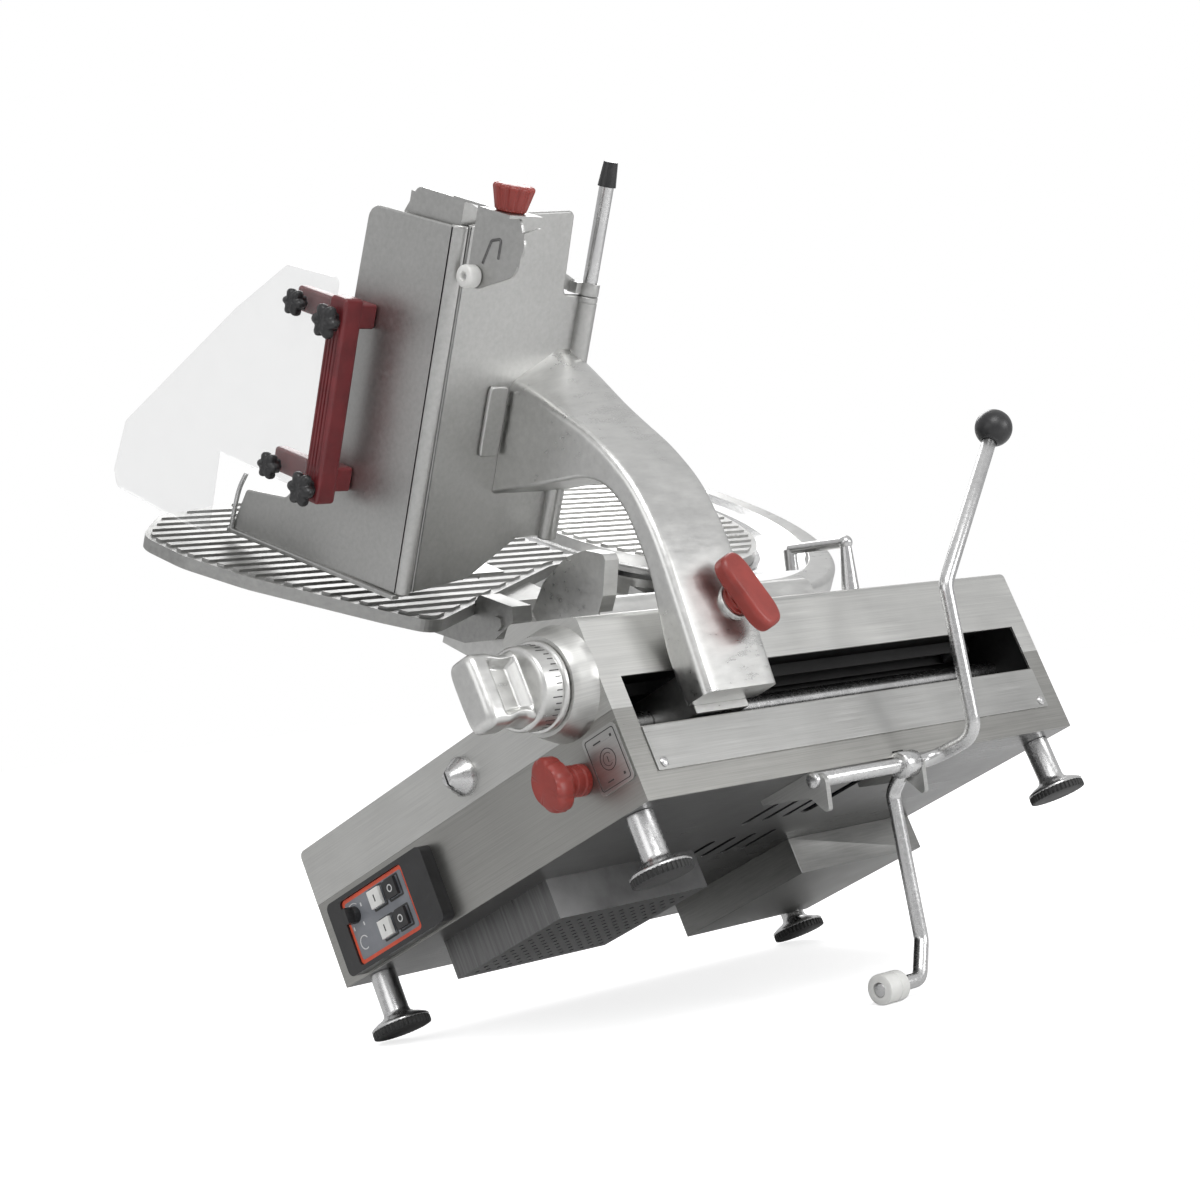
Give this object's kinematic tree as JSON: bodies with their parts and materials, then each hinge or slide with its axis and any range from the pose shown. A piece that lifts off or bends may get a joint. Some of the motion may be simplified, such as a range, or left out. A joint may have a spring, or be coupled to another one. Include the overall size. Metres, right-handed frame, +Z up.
{
  "type": "electric food slicer",
  "caption": "Electric food slicer with a slanted ribbed gauge plate, a round blade, a sliding product tray on a cast arm, a graduated index knob, a control panel and a lift lever.",
  "frame": {"origin": "on the floor, under the middle of the box round the standing machine", "axes": "+Z up, +Y from the control panel to the back, +X from the plain side to the slot side; the machine stands tilted on its two left feet and the roller of its lift lever"},
  "size_m": [0.6976, 0.7723, 0.6936],
  "materials": {
    "belt_rubber": "matte",
    "black_plastic": "satin",
    "blade_steel": "ground",
    "bright_steel": "polished",
    "casting": "polished casting",
    "clear_plastic": "clear",
    "dark_red_plastic": "satin",
    "motor_paint": "semi-gloss",
    "painted_steel": "smooth",
    "panel_red": "printed film",
    "red_plastic": "satin",
    "rubber": "matte",
    "sheet_steel": "brushed",
    "white_plastic": "satin"
  },
  "bodies": {
    "base": {"base_tub": "painted_steel", "top_cover": "painted_steel", "bottom_plate": "sheet_steel", "slot_liner": "black_plastic", "slot_strip": "sheet_steel", "cover_screws": "sheet_steel", "legs": "casting", "foot_pads": "rubber", "vent_box": "sheet_steel", "drive_box": "sheet_steel", "cable_gland": "black_plastic", "panel_bezel": "black_plastic", "panel_face": "panel_red", "selector_plate": "sheet_steel", "frame_casting": "casting", "ring_guard": "casting", "blade_cover": "casting", "shaft_bearings": "bright_steel", "blade_belt": "belt_rubber", "blade_motor": "motor_paint", "guide_rod": "bright_steel", "carriage_belt": "belt_rubber", "drive_motor": "motor_paint", "lever_brackets": "sheet_steel"},
    "carriage": {"carriage_block": "casting", "arm": "casting", "product_tray": "casting", "slide_rod": "bright_steel", "rod_cap": "black_plastic", "handle": "dark_red_plastic", "finger_guard": "clear_plastic"},
    "drive_pulley": {"drive_pulley": "casting"},
    "idler_pulley": {"idler_pulley": "casting"},
    "gauge": {"gauge_plate": "casting"},
    "index": {"index_knob": "casting"},
    "blade": {"blade": "blade_steel", "blade_shaft": "bright_steel", "blade_pulley": "casting"},
    "motor_pulley": {"motor_pulley": "casting"},
    "pusher": {"pusher_carrier": "sheet_steel", "pusher_plate": "sheet_steel", "pusher_latch": "sheet_steel"},
    "pusher_knob": {"pusher_knob": "red_plastic"},
    "tray_roller": {"tray_roller": "white_plastic"},
    "t_knob": {"t_knob": "red_plastic"},
    "star_knob_1": {"star_knob_1": "black_plastic"},
    "star_knob_2": {"star_knob_2": "black_plastic"},
    "star_knob_3": {"star_knob_3": "black_plastic"},
    "star_knob_4": {"star_knob_4": "black_plastic"},
    "lever": {"lever_rod": "bright_steel", "lever_ball": "black_plastic"},
    "floor_roller": {"floor_roller": "white_plastic"},
    "release_bar": {"release_bar": "sheet_steel"},
    "panel_switch": {"panel_switch": "black_plastic"},
    "blade_start": {"blade_start_button": "white_plastic"},
    "blade_stop": {"blade_stop_button": "black_plastic"},
    "carriage_start": {"carriage_start_button": "white_plastic"},
    "carriage_stop": {"carriage_stop_button": "black_plastic"},
    "selector": {"selector_knob": "red_plastic"},
    "lock_cone": {"lock_cone": "sheet_steel"}
  },
  "joints": [
    {"name": "carriage_slide", "type": "slide", "parent": "base", "child": "carriage", "axis": [0, 1, 0], "range_m": [-0.04, 0.34]},
    {"name": "drive_pulley_turn", "type": "hinge", "parent": "base", "child": "drive_pulley", "pos_m": [0.20611, 0.20515, 0.26155], "axis": [-0.3605, 0, 0.9328], "continuous": true},
    {"name": "idler_pulley_turn", "type": "hinge", "parent": "base", "child": "idler_pulley", "pos_m": [0.20611, -0.25485, 0.26155], "axis": [-0.3605, 0, 0.9328], "continuous": true},
    {"name": "index_turn", "type": "hinge", "parent": "base", "child": "index", "pos_m": [0.21117, -0.29485, 0.28173], "axis": [0, -1, 0], "range_deg": [0, 330]},
    {"name": "gauge_slide", "type": "slide", "parent": "base", "child": "gauge", "axis": [-0.4285, 0, -0.9036], "range_m": [0, 0.0116]},
    {"name": "blade_spin", "type": "hinge", "parent": "base", "child": "blade", "pos_m": [-0.14954, 0.17915, 0.42906], "axis": [0.4285, 0, 0.9036], "continuous": true},
    {"name": "motor_spin", "type": "hinge", "parent": "base", "child": "motor_pulley", "pos_m": [0.05489, 0.17915, 0.19267], "axis": [0.4285, 0, 0.9036], "continuous": true},
    {"name": "pusher_slide", "type": "slide", "parent": "carriage", "child": "pusher", "axis": [0.3886, 0, 0.9214], "range_m": [0, 0.075]},
    {"name": "pusher_knob_turn", "type": "hinge", "parent": "pusher", "child": "pusher_knob", "pos_m": [0.21433, -0.29285, 0.64073], "axis": [0.3886, 0, 0.9214], "range_deg": [0, 360]},
    {"name": "tray_roller_spin", "type": "hinge", "parent": "pusher", "child": "tray_roller", "pos_m": [0.17176, -0.30285, 0.59899], "axis": [0, 1, 0], "continuous": true},
    {"name": "t_knob_turn", "type": "hinge", "parent": "carriage", "child": "t_knob", "pos_m": [0.28138, -0.16485, 0.33031], "axis": [0.9328, 0, 0.3605], "range_deg": [-180, 180]},
    {"name": "star_knob_1_turn", "type": "hinge", "parent": "carriage", "child": "star_knob_1", "pos_m": [0.00994, -0.33585, 0.60647], "axis": [0, -1, 0], "range_deg": [0, 360]},
    {"name": "star_knob_2_turn", "type": "hinge", "parent": "carriage", "child": "star_knob_2", "pos_m": [0.04946, -0.33885, 0.58437], "axis": [0, -1, 0], "range_deg": [0, 360]},
    {"name": "star_knob_3_turn", "type": "hinge", "parent": "carriage", "child": "star_knob_3", "pos_m": [-0.04568, -0.33585, 0.48232], "axis": [0, -1, 0], "range_deg": [0, 360]},
    {"name": "star_knob_4_turn", "type": "hinge", "parent": "carriage", "child": "star_knob_4", "pos_m": [-0.00378, -0.33885, 0.45814], "axis": [0, -1, 0], "range_deg": [0, 360]},
    {"name": "lift_lever", "type": "hinge", "parent": "base", "child": "lever", "pos_m": [0.29712, -0.04485, 0.18416], "axis": [0, 1, 0], "range_deg": [0, 66]},
    {"name": "floor_roller_spin", "type": "hinge", "parent": "lever", "child": "floor_roller", "pos_m": [0.30236, -0.05685, 0.0125], "axis": [0, 1, 0], "continuous": true},
    {"name": "release_turn", "type": "hinge", "parent": "base", "child": "release_bar", "pos_m": [0.22567, 0.04515, 0.33022], "axis": [0.0042, 0, 1], "range_deg": [0, 60]},
    {"name": "panel_switch_turn", "type": "hinge", "parent": "base", "child": "panel_switch", "pos_m": [-0.04601, -0.30485, 0.10944], "axis": [0, -1, 0], "range_deg": [0, 90]},
    {"name": "blade_start_press", "type": "slide", "parent": "base", "child": "blade_start", "axis": [0, 1, 0], "range_m": [0, 0.002], "stiffness_N_per_m": 600, "springref_m": -0.001},
    {"name": "blade_stop_press", "type": "slide", "parent": "base", "child": "blade_stop", "axis": [0, 1, 0], "range_m": [0, 0.002], "stiffness_N_per_m": 600, "springref_m": -0.001},
    {"name": "carriage_start_press", "type": "slide", "parent": "base", "child": "carriage_start", "axis": [0, 1, 0], "range_m": [0, 0.002], "stiffness_N_per_m": 600, "springref_m": -0.001},
    {"name": "carriage_stop_press", "type": "slide", "parent": "base", "child": "carriage_stop", "axis": [0, 1, 0], "range_m": [0, 0.002], "stiffness_N_per_m": 600, "springref_m": -0.001},
    {"name": "selector_turn", "type": "hinge", "parent": "base", "child": "selector", "pos_m": [0.22536, -0.29485, 0.20895], "axis": [0, -1, 0], "range_deg": [0, 90]},
    {"name": "lock_cone_turn", "type": "hinge", "parent": "base", "child": "lock_cone", "pos_m": [0.0936, -0.29485, 0.217], "axis": [0, -1, 0], "range_deg": [0, 90]}
  ],
  "couplings": [
    {"joint": "drive_pulley_turn", "follows": "carriage_slide", "rad_per_m": 78.43},
    {"joint": "idler_pulley_turn", "follows": "carriage_slide", "rad_per_m": 78.43},
    {"joint": "gauge_slide", "follows": "index_turn", "m_per_rad": 0.0019967},
    {"joint": "motor_spin", "follows": "blade_spin", "ratio": 2}
  ]
}
